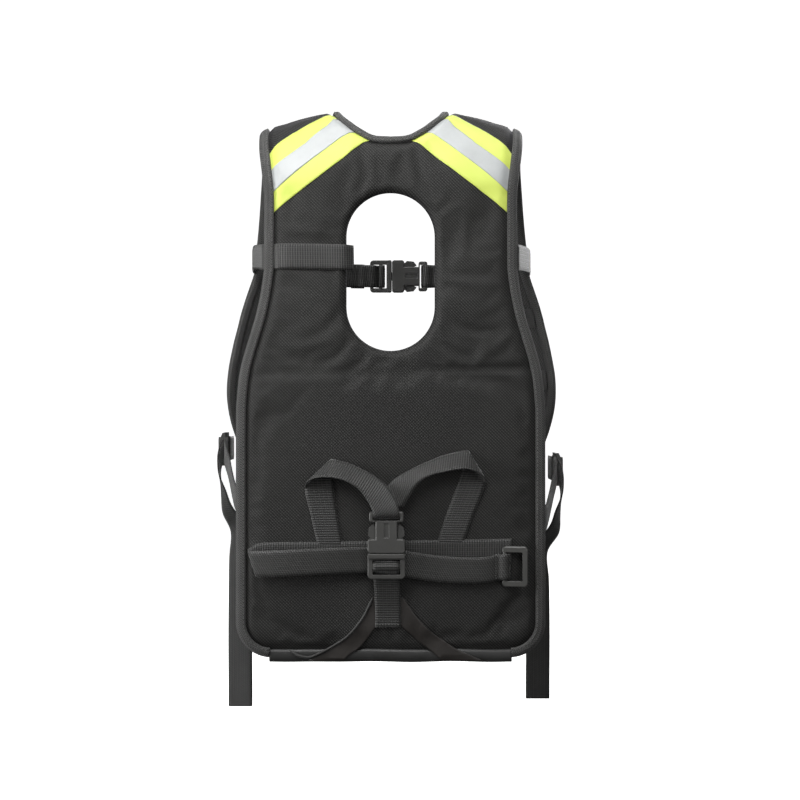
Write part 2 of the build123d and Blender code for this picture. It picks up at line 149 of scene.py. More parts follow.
class Look:
    """One material, built node by node."""

    def __init__(self, name):
        self.material = bpy.data.materials.new(name)
        self.material.use_nodes = True
        self.tree = self.material.node_tree
        self.tree.nodes.clear()
        self.shader = self.node("ShaderNodeBsdfPrincipled")
        self.node("ShaderNodeOutputMaterial", Surface=self.shader.outputs[0])

    def node(self, kind, props=(), **inputs):
        made = self.tree.nodes.new(kind)
        for key, value in dict(props).items():
            setattr(made, key, value)
        for key, value in inputs.items():
            self.feed(made.inputs[key.replace("_", " ")], value)
        return made

    def feed(self, socket, value):
        if isinstance(value, bpy.types.NodeSocket):
            self.tree.links.new(value, socket)
        else:
            socket.default_value = value

    def set(self, **inputs):
        for key, value in inputs.items():
            self.feed(self.shader.inputs[key.replace("_", " ")], value)

    def math(self, operation, *values):
        made = self.node("ShaderNodeMath", {"operation": operation})
        for socket, value in zip(made.inputs, values):
            self.feed(socket, value)
        return made.outputs[0]

    def times(self, a, b):
        return self.math("MULTIPLY", a, b)

    def plus(self, a, b):
        return self.math("ADD", a, b)

    def minus(self, a, b):
        return self.math("SUBTRACT", a, b)

    def place(self):
        """The point itself, in metres."""
        return self.node("ShaderNodeTexCoord").outputs["Object"]

    def weave(self):
        """Lengthways and sideways places in the cloth, in millimetres."""
        uv = self.node("ShaderNodeUVMap", {"uv_map": "Weave"}).outputs[0]
        split = self.node("ShaderNodeSeparateXYZ", Vector=uv)
        return [self.times(split.outputs[i], 1 / MM) for i in (0, 1)]

    def noise(self, scale, detail=3.0, rough=0.55):
        place = self.place()
        made = self.node("ShaderNodeTexNoise", Vector=place, Scale=scale, Detail=detail, Roughness=rough)
        return made.outputs["Fac"]

    def wave(self, along, pitch):
        """A sine from 0 to 1 that repeats every pitch millimetres."""
        phase = self.times(along, 2 * math.pi / pitch)
        return self.math("MULTIPLY_ADD", self.math("SINE", phase), 0.5, 0.5)

    def crossed(self, pitch):
        """Two sets of slanting waves that cross."""
        along, across = self.weave()
        slants = self.plus(along, across), self.minus(along, across)
        return [self.wave(slant, pitch) for slant in slants]

    def ramp(self, value, low, high, out_low=0.0, out_high=1.0):
        """A smooth step from out_low, where the value is low, to out_high, where it is high."""
        span = {"From_Min": low, "From_Max": high, "To_Min": out_low, "To_Max": out_high}
        made = self.node("ShaderNodeMapRange", {"interpolation_type": "SMOOTHSTEP"}, Value=value, **span)
        return made.outputs[0]

    def colour(self, share, dark, light):
        """The base colour: dark where the share is 0, light where it is 1."""
        made = self.node("ShaderNodeMix", {"data_type": "RGBA"})
        sockets = [made.inputs[i] for i in (0, 6, 7)]          # the share and the two colours
        for socket, value in zip(sockets, (share, (*dark, 1), (*light, 1))):
            self.feed(socket, value)
        self.set(Base_Color=made.outputs[2])

    def bump(self, height, depth, strength=1.0, below=None):
        """Relief as deep as depth in millimetres, laid over the relief below it."""
        made = self.node("ShaderNodeBump", Height=height, Distance=depth * MM, Strength=strength)
        if below is not None:
            self.feed(made.inputs["Normal"], below)
        self.set(Normal=made.outputs[0])
        return made.outputs[0]


def grey(level, warm=0.0):
    """A near-neutral colour, a little green and brown as warm goes up."""
    return (level * (1 + warm), level * (1 + 0.8 * warm), level * (1 - warm))


def cover_fabric():
    """Coarse coated nylon: a dotted weave on the bias, with a soft bloom and worn patches."""
    look = Look("cover_nylon")
    one, two = look.crossed(3.1)
    dots = look.times(one, two)
    ribs = look.math("MAXIMUM", dots, look.times(one, 0.45))
    cloud = look.noise(9.0, 4.0)
    fuzz = look.noise(900.0, 2.0)
    share = look.times(ribs, look.ramp(cloud, 0.3, 0.75, 0.65, 1.0))
    share = look.plus(share, look.times(fuzz, 0.12))
    look.colour(share, grey(0.0025, 0.03), grey(0.046, 0.03))
    look.set(Roughness=look.ramp(cloud, 0.2, 0.8, 0.55, 0.7), Sheen_Weight=0.09, Sheen_Roughness=0.32)
    look.set(Specular_IOR_Level=0.25, Sheen_Tint=(0.9, 0.88, 1.0, 1))
    broad = look.bump(look.noise(60.0, 3.0), 0.35, 0.5)
    look.bump(look.plus(ribs, look.times(fuzz, 0.25)), 0.38, 0.9, broad)
    return look.material


def webbing_fabric():
    """Ribbed nylon webbing: ribs across it, split into rows of small floats."""
    look = Look("webbing_nylon")
    along, across = look.weave()
    rib, row = 2.4, 1.9
    rows = look.wave(across, 2 * row)
    shifted = look.plus(along, look.times(look.math("GREATER_THAN", rows, 0.5), rib / 2))
    floats = look.times(look.wave(shifted, rib), look.wave(across, row))
    furrows = look.math("MULTIPLY_ADD", look.wave(across, row), 0.35, 0.65)
    ribs = look.times(look.wave(along, rib), furrows)
    ribs = look.math("MAXIMUM", ribs, look.times(floats, 0.5))
    fuzz = look.noise(1200.0, 2.0)
    cloud = look.noise(25.0, 3.0)
    share = look.times(ribs, look.ramp(cloud, 0.25, 0.75, 0.7, 1.0))
    look.colour(share, grey(0.0015, 0.03), grey(0.05, 0.03))
    look.set(Roughness=look.ramp(ribs, 0.0, 1.0, 0.66, 0.36), Sheen_Weight=0.3, Sheen_Roughness=0.3)
    look.bump(look.plus(ribs, look.times(fuzz, 0.2)), 0.42, 0.9)
    return look.material


def binding_fabric():
    """Herringbone tape: slanting ribs that turn back at each column."""
    look = Look("binding_herringbone")
    along, across = look.weave()
    column = look.math("PINGPONG", across, 2.6)
    slant = look.plus(along, look.times(column, 1.15))
    ribs = look.wave(slant, 2.4)
    seams = look.ramp(look.math("ABSOLUTE", look.minus(column, 1.3)), 1.0, 1.3, 1.0, 0.55)
    height = look.times(ribs, seams)
    cloud = look.noise(40.0, 3.0)
    fuzz = look.noise(1500.0, 2.0)
    share = look.times(height, look.ramp(cloud, 0.25, 0.75, 0.75, 1.0))
    look.colour(share, grey(0.002, 0.02), grey(0.095, 0.02))
    look.set(Roughness=0.62, Sheen_Weight=0.1, Sheen_Roughness=0.35)
    look.bump(look.plus(height, look.times(fuzz, 0.2)), 0.5, 1.0)
    return look.material


def lining_fabric():
    """Spacer mesh against the wearer: rows of small holes in a springy knit."""
    look = Look("lining_mesh")
    knit = look.ramp(look.times(*look.crossed(4.2)), 0.25, 0.7, 1.0, 0.0)
    fuzz = look.noise(1100.0, 2.0)
    share = look.times(knit, look.ramp(fuzz, 0.2, 0.8, 0.7, 1.0))
    look.colour(share, grey(0.004), grey(0.034, 0.02))
    look.set(Roughness=0.85, Sheen_Weight=0.2, Sheen_Roughness=0.5)
    look.bump(look.plus(knit, look.times(fuzz, 0.2)), 0.8, 1.0)
    return look.material


def hivis_fabric():
    """Fluorescent tape: a fine tricot knit, unevenly faded, with a little painted glow whose emission
    stands in for fluorescence.
    """
    look = Look("hivis_knit")
    along, across = look.weave()
    knit = look.times(look.wave(along, 1.3), look.wave(across, 0.9))
    cloud = look.noise(45.0, 4.0)
    share = look.math("MULTIPLY_ADD", cloud, 0.7, look.times(knit, 0.3))
    look.colour(share, (0.46, 0.54, 0.08), (0.57, 0.65, 0.135))
    look.set(Roughness=0.5, Sheen_Weight=0.2, Sheen_Roughness=0.4)
    # Painted glow: the tape gives off a little light of its own, though it is no lamp.
    look.set(Emission_Color=(0.80, 1.0, 0.16, 1), Emission_Strength=0.08)
    broad = look.bump(cloud, 0.5, 0.6)
    look.bump(knit, 0.12, 0.6, broad)
    return look.material


def silver_fabric():
    """Glass-bead reflective tape: bright, even, faintly gridded, with soft handling creases."""
    look = Look("silver_bead")
    grid = look.math("MAXIMUM", *look.crossed(1.6))
    creases = look.noise(70.0, 5.0, 0.7)
    share = look.math("MULTIPLY_ADD", creases, 0.8, look.times(grid, 0.2))
    look.colour(share, (0.31, 0.32, 0.32), (0.44, 0.46, 0.46))
    look.set(Roughness=look.ramp(creases, 0.3, 0.7, 0.4, 0.55), Metallic=0.1)
    broad = look.bump(creases, 0.5, 0.6)
    look.bump(grid, 0.06, 0.5, broad)
    return look.material


def coated_fabric(name, dark, light, rough):
    """Rubber-coated sheet: fine leathery grain, scuffs, and a low shine."""
    look = Look(name)
    grain = look.node("ShaderNodeTexVoronoi", Vector=look.place(), Scale=850.0).outputs["Distance"]
    cloud = look.noise(30.0, 5.0, 0.65)
    scuff = look.ramp(look.noise(160.0, 6.0, 0.75), 0.56, 0.72)
    share = look.plus(look.times(cloud, 0.8), look.times(scuff, 0.35))
    look.colour(share, dark, light)
    look.set(Roughness=look.ramp(cloud, 0.3, 0.7, rough, rough + 0.16))
    look.set(Coat_Weight=0.08, Coat_Roughness=0.35)
    broad = look.bump(cloud, 0.6, 0.5)
    look.bump(grain, 0.14, 0.5, broad)
    return look.material


def moulded_plastic(name, level, rough):
    """Moulded acetal: spark-eroded grain, with edges rubbed smoother and paler."""
    look = Look(name)
    grain = look.noise(2600.0, 3.0, 0.6)
    cloud = look.noise(55.0, 4.0)
    soft = look.node("ShaderNodeBevel", {"samples": 6}, Radius=0.55 * MM).outputs[0]
    sharp = look.node("ShaderNodeNewGeometry").outputs["Normal"]
    facing = look.node("ShaderNodeVectorMath", {"operation": "DOT_PRODUCT"})
    look.feed(facing.inputs[0], soft)
    look.feed(facing.inputs[1], sharp)
    wear = look.ramp(facing.outputs["Value"], 0.995, 0.93)
    rub = look.times(wear, look.ramp(look.noise(220.0, 4.0), 0.35, 0.65, 0.3, 1.0))
    share = look.plus(look.times(cloud, 0.25), look.times(rub, 0.75))
    look.colour(share, grey(level, 0.03), grey(level * 2.6, 0.02))
    look.set(Roughness=look.ramp(rub, 0.0, 1.0, rough, rough - 0.12))
    look.bump(grain, 0.05, 0.6, soft)
    return look.material


def thread():
    """Bonded nylon thread, twisted."""
    look = Look("bonded_thread")
    height = look.node("ShaderNodeSeparateXYZ", Vector=look.place()).outputs[2]
    twist = look.wave(look.times(height, 1 / MM), 0.9)
    share = look.math("MULTIPLY_ADD", look.noise(300.0), 0.5, look.times(twist, 0.5))
    look.colour(share, grey(0.02), grey(0.085, 0.04))
    look.set(Roughness=0.5, Sheen_Weight=0.3)
    look.bump(twist, 0.15, 0.8)
    return look.material


# ---- shapes drawn as points ----

def smooth_line(points, step):
    """A round line through some points, as points about a step apart."""
    points = [np.array(p, float) for p in points]
    ends = [2 * points[0] - points[1], *points, 2 * points[-1] - points[-2]]
    found = []
    for a, b, c, d in zip(ends, ends[1:], ends[2:], ends[3:]):
        count = max(1, round(float(np.linalg.norm(c - b)) / step))
        bend, twist = 2 * a - 5 * b + 4 * c - d, 3 * b - a - 3 * c + d
        for k in range(count):
            u = k / count
            found.append(0.5 * (2 * b + (c - a) * u + bend * u**2 + twist * u**3))
    return [*found, points[-1]]


def arc_line(centre, radius, start, end, step):
    count = max(3, round(abs(math.radians(end - start)) * radius / step))
    turns = [math.radians(start + (end - start) * k / count) for k in range(count + 1)]
    return [np.array((centre[0] + radius * math.cos(a), centre[1] + radius * math.sin(a))) for a in turns]


def inset_line(line, distance):
    """Moves a line to its left by a distance, square to itself."""
    found = []
    for i, point in enumerate(line):
        way = np.array(line[min(i + 1, len(line) - 1)]) - np.array(line[max(i - 1, 0)])
        way = way / max(np.linalg.norm(way), 1e-9)
        found.append(np.array(point) + distance * np.array((-way[1], way[0])))
    return found


def mirrored(line):
    """The left half of a line whose right half is given, in the order that closes the outline."""
    return [np.array((-p[0], p[1])) for p in reversed(line)]


def gap_to(points, loop):
    """Distance from each point to a closed line."""
    points, loop = np.array(points), np.array(loop)
    way = np.roll(loop, -1, axis=0) - loop
    nearest = np.full(len(points), np.inf)
    for start, step, size in zip(loop, way, np.maximum((way**2).sum(1), 1e-12)):
        u = np.clip(((points - start) @ step) / size, 0, 1)
        away = points - start - u[:, None] * step
        nearest = np.minimum(nearest, (away**2).sum(1))
    return np.sqrt(nearest)


def within(points, loop):
    """Which points lie inside a closed line."""
    points, loop = np.array(points), np.array(loop)
    found = np.zeros(len(points), bool)
    for (x1, y1), (x2, y2) in zip(loop, np.roll(loop, -1, axis=0)):
        crosses = (y1 > points[:, 1]) != (y2 > points[:, 1])
        rise = y2 - y1 if abs(y2 - y1) > 1e-12 else 1e-12
        found ^= crosses & (points[:, 0] < (x2 - x1) * (points[:, 1] - y1) / rise + x1)
    return found


def on_sheet(points, outline, holes):
    """Which points lie inside an outline and outside its holes."""
    found = within(points, outline)
    for hole in holes:
        found &= ~within(points, hole)
    return found


def cut_sheet(outline, holes, step, rings):
    """A sheet of even triangles: its points, its triangles and its rim's point pairs.

    Rings of extra points lie inside its edges, at the given distances."""
    loops = [outline, *holes]
    edges, near, grid, first = [], [], [], 0
    for loop in loops:
        edges += [(first + i, first + (i + 1) % len(loop)) for i in range(len(loop))]
        first += len(loop)
        turns = sum(a[0] * b[1] - a[1] * b[0] for a, b in zip(loop, [*loop[1:], loop[0]])) > 0
        inward = 1 if turns == (loop is outline) else -1
        for ring in rings:
            moved = inset_line([loop[-1], *loop, loop[0]], ring * inward)[1:-1]
            near += moved[::2] if ring > 0.6 * step else moved
    low, high = np.min(outline, axis=0), np.max(outline, axis=0)
    rise = 0.866 * step
    for r in range(int((high[1] - low[1]) / rise) + 1):
        for c in range(int((high[0] - low[0]) / step) + 2):
            grid.append((low[0] + step * (c + 0.5 * (r % 2)), low[1] + r * rise))
    chosen = [np.array([p for loop in loops for p in loop])]
    for cloud, least in ((np.array(near), 0.8 * min(rings)), (np.array(grid), max(rings) + 0.55 * step)):
        gap = np.min([gap_to(cloud, loop) for loop in loops], axis=0)
        chosen.append(cloud[on_sheet(cloud, outline, holes) & (gap > least)])
    done = delaunay_2d_cdt([Vector(p) for p in np.concatenate(chosen)], edges, [], 0, 0.05)
    verts = np.array([tuple(v) for v in done[0]])
    faces = [tuple(f) for f in done[2] if len(f) == 3]
    kept = on_sheet([verts[list(f)].mean(0) for f in faces], outline, holes)
    faces = [f for f, keep in zip(faces, kept) if keep]
    used = sorted({i for f in faces for i in f})
    order = {old: new for new, old in enumerate(used)}
    verts = verts[used]
    faces = [tuple(order[i] for i in f) for f in faces]
    faces = [f if doubled_area(verts, f) > 0 else f[::-1] for f in faces]
    pairs = dict.fromkeys(pair for f in faces for pair in zip(f, (*f[1:], f[0])))
    return verts, faces, [(a, b) for a, b in pairs if (b, a) not in pairs]


def doubled_area(verts, face):
    """Twice a triangle's area, above 0 where its corners turn left."""
    a, b, c = (verts[i] for i in face)
    return (b[0] - a[0]) * (c[1] - a[1]) - (b[1] - a[1]) * (c[0] - a[0])


def flat_area(verts, faces):
    """The area of a cut sheet, in square metres."""
    return float(sum(abs(doubled_area(verts, face)) / 2 for face in faces)) * MM**2


# ---- meshes ----

def plain_mesh(name, points, faces):
    mesh = bpy.data.meshes.new(name)
    mesh.from_pydata([tuple(p) for p in points], [], faces)
    mesh.update()
    made = bpy.data.objects.new(name, mesh)
    bpy.context.scene.collection.objects.link(made)
    return made


def dress(piece, body, slot, material, weave=None, nodes=()):
    """Finishes a piece: its material, its cloth directions, and the body that it moves with."""
    piece.data.materials.append(material)
    if weave is not None:
        layer = piece.data.uv_layers.new(name="Weave")
        corner = np.zeros(len(piece.data.loops), int)
        piece.data.loops.foreach_get("vertex_index", corner)
        layer.data.foreach_set("uv", (np.array(weave, float)[corner] * MM).ravel().astype(np.float32))
    piece.data.polygons.foreach_set("use_smooth", [True] * len(piece.data.polygons))
    if body:
        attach(piece, body)
    if nodes:
        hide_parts(*nodes)
    return piece


def slab(name, sheet, place, outer, inner, hand=1, flip=False):
    """A closed form between two faces of a cut sheet, each given by its level at the sheet's points."""
    verts, faces, rim = sheet
    n = len(verts)
    points = [place(hand * x, s, t) for level in (outer, inner) for (x, s), t in zip(verts, level)]
    closed = faces + [(a + n, c + n, b + n) for a, b, c in faces] + [(b, a, a + n, b + n) for a, b in rim]
    if (hand < 0) != flip:
        closed = [face[::-1] for face in closed]
    return plain_mesh(name, points, closed)


def tube_faces(count, around, first=0, flip=False):
    """The faces of a closed tube: count rings of points, numbered on from the first."""
    faces = []
    for start in range(first, first + (count - 1) * around, around):
        for k in range(around):
            p, q = start + k, start + (k + 1) % around
            faces.append((p, q, q + around, p + around))
    last = first + (count - 1) * around
    faces += [tuple(range(first, first + around))[::-1], tuple(range(last, last + around))]
    return [face[::-1] for face in faces] if flip else faces


# ---- the vest's body ----

def shoulder_start(x):
    """Where the shoulder's arch begins, rounded over the middle of the back."""
    return SHOULDER_H - SHOULDER_FALL * (math.hypot(x, 8) - 8)


def strap_run(x):
    """How far the strap runs straight from its arch down to the front panel's top."""
    return (shoulder_start(x) + ARCH * math.sin(ARCH_END) - FRONT_TOP) / -math.cos(ARCH_END)


def lean(x):
    """How far the strap and the front panel each lean to meet at the panel's top: half the gap there."""
    x = min(abs(x), 0.95 * CHEST_A)
    strap = SHOULDER_R - (SHOULDER_R + STRAP_MID) * math.cos(ARCH_END) + strap_run(x) * math.sin(ARCH_END)
    panel = CHEST_Y + (CHEST_B - PANEL_MID) * math.sqrt(1 - (x / (CHEST_A - PANEL_MID)) ** 2)
    return (panel - strap) / 2


def vest_point(x, s, t):
    """A point of the vest's body: up the back, over the shoulder's arch, and straight down to the chest."""
    start = shoulder_start(x)
    turn = (s - start) / ARCH
    if turn <= 0:
        return at(x, -t, s)
    r, angle = SHOULDER_R + t, min(turn, ARCH_END)
    run = (turn - angle) * ARCH
    y = SHOULDER_R - r * math.cos(angle) + run * math.sin(angle)
    if run > 0:
        y += lean(x) * (run / strap_run(x)) ** 2
    return at(x, y, start + r * math.sin(angle) + run * math.cos(angle))


def up_back(x, h):
    """The s of a height on the back."""
    rise = (h - shoulder_start(x)) / ARCH
    return h if rise <= 0 else shoulder_start(x) + ARCH * math.asin(min(1, rise))


def down_front(x, h):
    """The s of a height on the chest side of the shoulder."""
    start = shoulder_start(x)
    last = start + ARCH * math.sin(ARCH_END)
    if h >= last:
        return start + ARCH * (math.pi - math.asin(min(1, (h - start) / ARCH)))
    return start + ARCH * ARCH_END + (last - h) / -math.cos(ARCH_END)


def crest(x):
    """The s of the shoulder's top."""
    return shoulder_start(x) + ARCH * math.pi / 2


def edge_line(step=3.0):
    """The vest's right-hand edge, from the bottom's middle up the back and down to the chest."""
    corner = PANEL_HALF - PANEL_CORNER
    line = [np.array((x, 0.0)) for x in np.arange(0, corner, step)]
    line += arc_line((corner, PANEL_CORNER), PANEL_CORNER, -90, 0, step)
    line += [np.array((PANEL_HALF, s)) for s in np.arange(PANEL_CORNER + step, 228, step)]
    armhole = [(PANEL_HALF, 228), (150.4, 248), (146, 284), (131, 336), (124.4, 372), (123.5, 395),
               (123.5, 420)]
    line += smooth_line(armhole, step)[:-1]
    shoulder = [(x, up_back(x, h)) for x, h in ((123.5, 452), (126.5, 478), (130.5, 505))]
    strap = [(x, down_front(x, h)) for x, h in ((137, 505), (141, 472), (145, 440), (149, 411))]
    return line + smooth_line([(123.5, 420), *shoulder, (134.5, crest(134.5)), *strap], step)


def neck_line(step=3.0):
    """The vest's inner edge, from the right strap's chest end up and over to the neckline's middle."""
    strap = [(x, down_front(x, h)) for x, h in ((55, 411), (54, 470), (53, 520))]
    neck = [(x, up_back(x, h)) for x, h in ((47.4, 538), (36.5, 526), (25.2, 516.7), (15, 511.3), (0, 510))]
    return smooth_line([*strap, (51.5, crest(51.5)), *neck], step)


def hole_line(step=3.0):
    """The oval opening, clockwise from its left."""
    r, half = HOLE_W / 2, (HOLE_LONG - HOLE_W) / 2
    line = arc_line((0, HOLE_H + half), r, 180, 0, step)
    line += [np.array((r, s)) for s in np.arange(HOLE_H + half - step, HOLE_H - half, -step)]
    line += arc_line((0, HOLE_H - half), r, 0, -180, step)
    line += [np.array((-r, s)) for s in np.arange(HOLE_H - half + step, HOLE_H + half, step)]
    return line


# Handling creases in the back: a line through points, how deep it is and how wide.
CREASES = [
    (((-31, 500), (-26, 480), (-25, 468), (-32, 452)), 1.3, 4.0),
    (((22, 503), (27, 482), (31, 466), (44, 448)), 1.3, 4.0),
    (((-44, 340), (-66, 318), (-92, 306)), 0.9, 5.0),
    (((-36, 320), (-50, 298), (-70, 284)), 1.1, 4.5),
    (((-22, 303), (-30, 288), (-42, 279)), 1.0, 4.0),
    (((20, 302), (30, 288), (46, 279)), 1.0, 4.0),
    (((36, 318), (54, 302), (80, 292)), 1.2, 4.5),
    (((44, 338), (70, 322), (104, 316)), 1.0, 5.0),
    (((47, 360), (72, 356), (98, 356)), 0.7, 5.0),
]


def crease_depth(verts):
    """How far the creases pull the cover in at each point."""
    depth = np.zeros(len(verts))
    for points, deep, wide in CREASES:
        line = np.array(smooth_line(points, 2.0))
        gaps = np.sqrt(((verts[:, None, :] - line[None, :, :]) ** 2).sum(2))
        nearest = gaps.argmin(1)
        along = nearest / (len(line) - 1)
        fade = np.clip(np.minimum(along + 0.25, 1.25 - along) * 2.2, 0, 1)
        gap = gaps.min(1)
        valley, ridge = np.exp(-((gap / wide) ** 2)), np.exp(-((gap / wide - 1.7) ** 2))
        depth += deep * fade * (valley - 0.45 * ridge)
    return depth


def body_sheet(step, rings):
    """The flat cut of the vest's body, and how far each point is from its edge and from the opening."""
    outer = inset_line(edge_line(), EDGE - 1.8)
    outer[0] = np.array((0.0, EDGE - 1.8))
    inner = inset_line(neck_line(), NECK_EDGE - 1.5)
    inner[-1] = np.array((0.0, inner[-1][1]))
    half = outer + inner
    outline = half[:-1] + mirrored(half)[:-1]
    sheet = cut_sheet(outline, [hole_line()], step, rings)
    return sheet, gap_to(sheet[0], outline), gap_to(sheet[0], hole_line())


def eased(gap, reach):
    """0 at a gap of nothing, and 1 from the reach on, rounded like a quarter circle."""
    share = np.clip(gap / reach, 0, 1)
    return np.sqrt(1 - (1 - share) ** 2)


def body_padding(material):
    """The padded body: back, shoulders and straps down to the chest, as one cover over its foam."""
    sheet, edge, hole = body_sheet(4.2, (1.0, 2.6, 5.0, 8.0))
    verts = sheet[0]
    x, s = verts.T
    face = 12.2 + 4.5 * eased(edge - 2.2, 11) + 0.6 * np.clip((edge - 13) / 30, 0, 1) - 4.0 * on_front(s)
    face = np.where(hole < 9, 9 + (face - 9) * eased(hole, 8), face)
    fold = FOLD_H + 4.0 * np.sin(x / 85)
    deep = 0.7 + 1.9 * np.clip((x - 30) / 60, 0, 1) + 0.5 * np.clip((-x - 60) / 60, 0, 1)
    face -= deep * np.exp(-(((s - fold) / 3.4) ** 2)) * (hole > 2)
    face -= crease_depth(verts) * np.clip(hole / 6, 0, 1)
    waves = np.array([noise.noise(Vector((v[0] / 70, v[1] / 55, 3.7))) for v in verts])
    face += 0.9 * waves * np.clip(edge / 20, 0, 1) * np.clip(hole / 12, 0, 1)
    back = 3.2 - 1.4 * eased(edge, 12)
    back = np.where(hole < 9, 7 + (back - 7) * eased(hole, 8), back)
    made = slab("vest_padding", sheet, vest_point, face, back)
    sewn = (edge < 6) | (hole < 6) | (abs(s - FOLD_H) < 3)
    puff(made, np.concatenate([sewn, np.ones(len(verts), bool)]), most=2.2)
    nodes = ["back_cover", "lower_foam_pad", "upper_foam_pad", "stiffener_sheet"]
    kinds = ("shoulder_cover", "shoulder_foam", "front_strap")
    nodes += [f"{kind}_{side}" for kind in kinds for side in SIDES]
    dress(made, "vest", "cover", material, [*verts, *verts], nodes)
    return made


def puff(piece, held, most):
    """Blows a padded piece up a little as cloth over foam, by no more than most millimetres."""
    start = np.array([v.co for v in piece.data.vertices])
    pinned = piece.vertex_groups.new(name="held")
    pinned.add([int(i) for i in np.flatnonzero(held)], 1.0, "REPLACE")
    cloth = piece.modifiers.new("cloth", "CLOTH")
    settings = cloth.settings
    settings.quality = 5
    settings.mass = 0.25
    settings.tension_stiffness = settings.compression_stiffness = 18
    settings.shear_stiffness = 8
    settings.bending_stiffness = 0.6
    settings.use_pressure = True
    settings.uniform_pressure_force = 4
    settings.shrink_min = -0.012
    settings.vertex_group_mass = "held"
    settings.effector_weights.gravity = 0
    cloth.collision_settings.use_collision = False
    scene = bpy.context.scene
    for now in range(1, CLOTH_FRAMES + 1):
        scene.frame_set(now)
    shaped = piece.evaluated_get(bpy.context.evaluated_depsgraph_get())
    found = np.array([v.co for v in shaped.data.vertices])
    piece.modifiers.remove(cloth)
    piece.vertex_groups.clear()
    scene.frame_set(1)
    move = found - start
    size = np.maximum(np.linalg.norm(move, axis=1), 1e-12)
    move *= (np.minimum(size, most * MM) / size)[:, None]
    piece.data.vertices.foreach_set("co", (start + move).ravel())
    piece.data.update()


class Skin:
    """The vest's padded face as it came out, so that tapes and straps can lie on it."""

    def __init__(self, piece):
        mesh = piece.data
        mesh.calc_loop_triangles()
        self.tree = BVHTree.FromPolygons([v.co for v in mesh.vertices],
                                         [t.vertices for t in mesh.loop_triangles])

    def level(self, x, s):
        """The t of the face at one place, or at the nearest place where the face is cut away."""
        start, end = vest_point(x, s, 45), vest_point(x, s, 5)
        hit = self.tree.ray_cast(start, (end - start).normalized(), 60 * MM)[0]
        if hit is not None:
            return 45 - (hit - start).length / MM
        return SKIN - self.tree.find_nearest(vest_point(x, s, SKIN))[3] / MM


def body_lining(material):
    """The mesh lining on the wearer's side, softly quilted."""
    sheet, edge, hole = body_sheet(6.0, (1.5, 4.5))
    verts = sheet[0]
    quilt = 0.8 * np.abs(np.prod(np.sin(np.pi * (verts - (0, 20)) / 62), axis=1)) ** 0.5
    inner = np.where(hole < 8, 6.5, 2.4) - 2.0 * eased(np.minimum(edge, hole), 14)
    inner -= quilt * np.clip(edge / 14, 0, 1)
    inner = np.where(hole < 9, 6.9 + (inner - 6.9) * eased(hole, 9), inner)
    made = slab("vest_lining", sheet, vest_point, inner + 1.2, inner)
    return dress(made, "vest", "lining", material, [*verts, *verts],
                 ["back_lining", "shoulder_lining_left", "shoulder_lining_right"])


# ---- bindings ----

SEAM_T, STITCH_PITCH = 17.0, 4.2
# A folded tape's cross-section: how far inside the edge each point lies, and its t.
EDGE_PROFILE = [(10.0, 12.6), (10.1, 15.2), (9.4, 16.5), (8.0, 16.9), (5.6, 16.7), (3.2, 15.9), (1.3, 14.2),
                (0.3, 12.0), (0.0, 9.4), (0.0, 7.0), (0.5, 4.8), (1.8, 3.0), (4.0, 1.8), (7.0, 1.1),
                (9.4, 1.1), (10.2, 1.8), (10.4, 3.4)]


def bound_edge(name, line, profile, place, material, nodes, flip=False):
    """A folded tape swept along an edge; place maps across, along and out to a point."""
    points, weave, u = [], [], 0.0
    width = np.concatenate([[0], np.cumsum([math.dist(a, b) for a, b in zip(profile, profile[1:])])])
    rims = [inset_line(line, inset) for inset, _ in profile]
    for i, here in enumerate(line):
        u += math.dist(here, line[i - 1]) if i else 0.0
        for j, (_, t) in enumerate(profile):
            ripple = 0.25 * noise.noise(Vector((u / 16, j / 3, 1.3)))
            points.append(place(*rims[j][i], t + ripple))
            weave.append((u, width[j]))
    made = plain_mesh(name, points, tube_faces(len(line), len(profile), flip=flip))
    return dress(made, "vest", "binding", material, weave, nodes)


def body_bindings(material, thread_look):
    """The binding round each outer edge and round the neck, with its stitches."""
    def bind(name, seam_name, line, profile, inset, nodes):
        bound_edge(name, line, profile, strap_depth, material, nodes)
        seam = [strap_depth(*p, SEAM_T) for p in inset_line(line, inset)]
        stitch_run(seam_name, seam, "binding", thread_look, STITCH_PITCH)

    right = [p for p in edge_line(2.0) if p[0] > 117.8 or p[1] > 60]
    for side, hand in SIDES.items():
        bind(f"edge_binding_{side}", f"edge_stitches_{side}", right if hand > 0 else mirrored(right),
             EDGE_PROFILE, 8.3, [f"back_binding_{side}", f"armhole_binding_{side}"])
    half = neck_line(2.0)
    profile = [(inset * NECK_EDGE / EDGE, t) for inset, t in EDGE_PROFILE]
    bind("neck_edge_binding", "neck_stitches", half + mirrored(half)[1:], profile, 7.0, ["neck_binding"])


def on_front(s):
    """0 on the back and 1 where the body has run down to the chest."""
    return np.clip((s - STRAP_FROM) / STRAP_FADE, 0, 1)


def strap_depth(x, s, t):
    """A point of the body's edge, thinner where the body runs down to the chest."""
    return vest_point(x, s, t - on_front(s) * 4.0 * t / SKIN)


